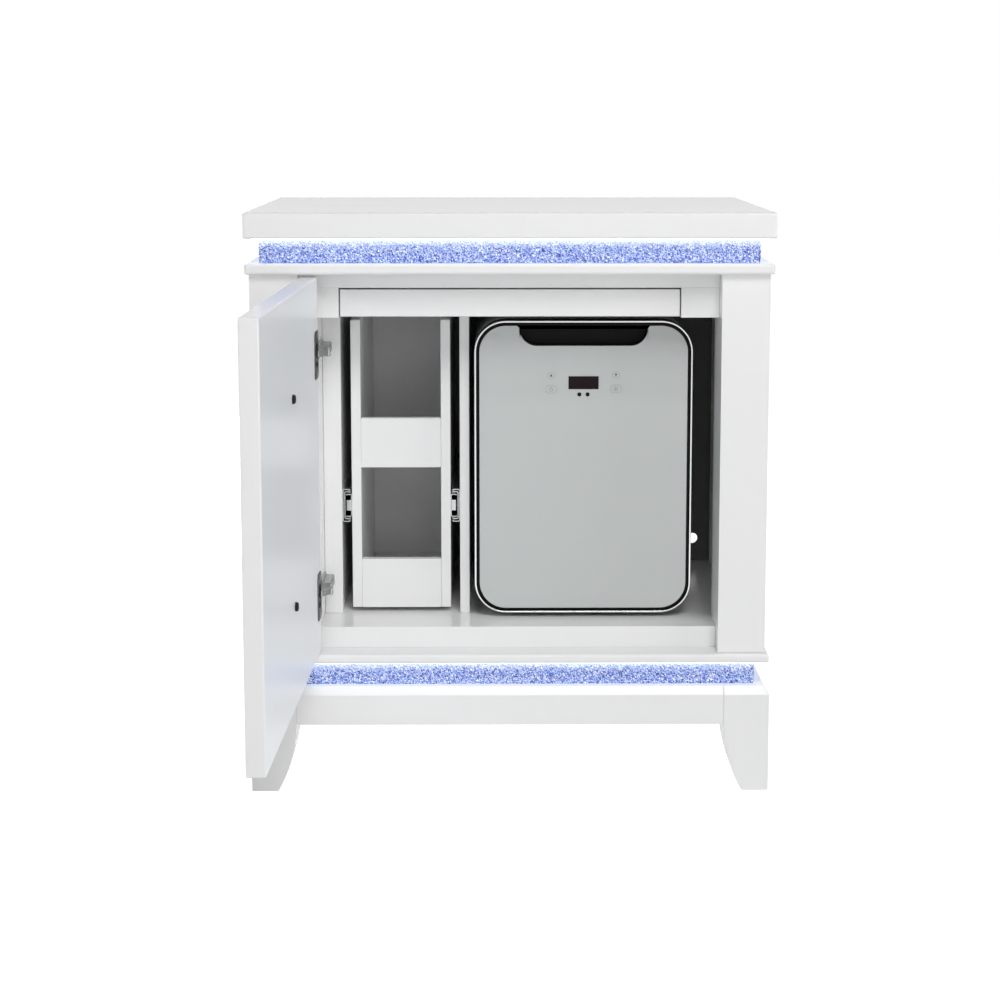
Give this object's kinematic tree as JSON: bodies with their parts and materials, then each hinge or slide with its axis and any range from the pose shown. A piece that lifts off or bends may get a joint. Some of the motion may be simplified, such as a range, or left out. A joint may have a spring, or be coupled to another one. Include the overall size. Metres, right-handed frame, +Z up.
{
  "type": "refrigerator nightstand",
  "caption": "White nightstand with lit crystal bands, a hinged front door, a shallow tray, a pull-out rack and a small refrigerator inside.",
  "frame": {"origin": "centre of the bounding box at floor level, with the front door open as in the picture", "axes": "+X to the right seen from the front, +Y from the front to the back, +Z up"},
  "size_m": [0.68, 0.9924, 0.76],
  "materials": {
    "lacquer": "white gloss lacquer on fibreboard",
    "crystal": "crushed clear crystal, lit cool white",
    "light": "cool white light strip",
    "steel": "nickel-plated steel",
    "chrome": "polished chrome",
    "black_steel": "black zinc-plated steel",
    "black_plastic": "black moulded plastic",
    "fridge_shell": "light grey moulded plastic round foam",
    "fridge_inside": "white moulded plastic",
    "fridge_glass": "toughened glass, pale grey behind",
    "shelf_glass": "clear glass",
    "rim": "satin silver",
    "seal": "grey magnetic seal",
    "cooler": "bare aluminium",
    "display": "black display window"
  },
  "bodies": {
    "cabinet": {"top_slab": "lacquer", "upper_frieze": "lacquer", "upper_crystal_band": "crystal", "upper_light_strip": "light", "upper_plate": "lacquer", "front_post_left": "lacquer", "front_post_right": "lacquer", "rear_posts": "lacquer", "side_panel_left": "lacquer", "side_panel_right": "lacquer", "back_panel": "lacquer", "floor_board": "lacquer", "top_rail": "lacquer", "tray_blocks": "lacquer", "hinge_filler": "lacquer", "inner_panel": "lacquer", "divider": "lacquer", "lower_plate": "lacquer", "lower_frieze": "lacquer", "lower_crystal_band": "crystal", "lower_light_strip": "light", "base_rails": "lacquer", "front_foot_left": "lacquer", "front_foot_right": "lacquer", "rear_feet": "lacquer", "hinge_arms": "steel", "rack_slide_outers": "steel", "tray_slide_outers": "steel", "fridge_case": "fridge_shell", "fridge_liner": "fridge_inside", "fridge_shelf": "shelf_glass", "cooling_block": "cooler", "fan_frame": "black_plastic", "rear_grille": "black_plastic", "fridge_feet": "black_plastic", "fridge_hinge_brackets": "steel"},
    "door": {"door_board": "lacquer", "door_raised_fronts": "lacquer", "door_knobs": "chrome", "knob_screws": "black_steel", "hinge_cups": "steel"},
    "hinge_links": {"hinge_links": "steel"},
    "tray": {"tray_front": "lacquer", "tray_sides": "lacquer", "tray_back": "lacquer", "tray_bottom": "lacquer", "tray_slide_inners": "steel"},
    "rack": {"rack_sides": "lacquer", "rack_back": "lacquer", "rack_shelf": "lacquer", "rack_bottom": "lacquer", "rack_lips": "lacquer", "rack_slide_inners": "steel"},
    "rack_slide_middles": {"rack_slide_middles": "steel"},
    "fridge_door": {"fridge_door_frame": "black_plastic", "fridge_door_glass": "fridge_glass", "fridge_door_rim": "rim", "fridge_door_seal": "seal", "display_window": "display"},
    "fan": {"fan_rotor": "black_plastic"}
  },
  "joints": [
    {"name": "door_hinge", "type": "hinge", "parent": "cabinet", "child": "door", "pos_m": [-0.2665, 0.04065, 0.43175], "axis": [0, 0, -1], "range_deg": [-91.6, 8.4]},
    {"name": "hinge_link_swing", "type": "hinge", "parent": "cabinet", "child": "hinge_links", "pos_m": [-0.2352, 0.05215, 0.43175], "axis": [0, 0, 1], "range_deg": [-64.2, 5.9]},
    {"name": "tray_slide", "type": "slide", "parent": "cabinet", "child": "tray", "axis": [0, -1, 0], "range_m": [0, 0.25]},
    {"name": "rack_slide", "type": "slide", "parent": "cabinet", "child": "rack", "axis": [0, -1, 0], "range_m": [0, 0.3]},
    {"name": "rack_slide_mid", "type": "slide", "parent": "cabinet", "child": "rack_slide_middles", "axis": [0, -1, 0], "range_m": [0, 0.15]},
    {"name": "fridge_door_hinge", "type": "hinge", "parent": "cabinet", "child": "fridge_door", "pos_m": [0.2355, 0.13115, 0.4155], "axis": [0, 0, 1], "range_deg": [0, 95]},
    {"name": "fan_spin", "type": "hinge", "parent": "cabinet", "child": "fan", "pos_m": [0.098, 0.40815, 0.4115], "axis": [0, 1, 0], "continuous": true}
  ],
  "couplings": [
    {"joint": "hinge_link_swing", "follows": "door_hinge", "ratio": 0.7},
    {"joint": "rack_slide_mid", "follows": "rack_slide", "ratio": 0.5}
  ]
}
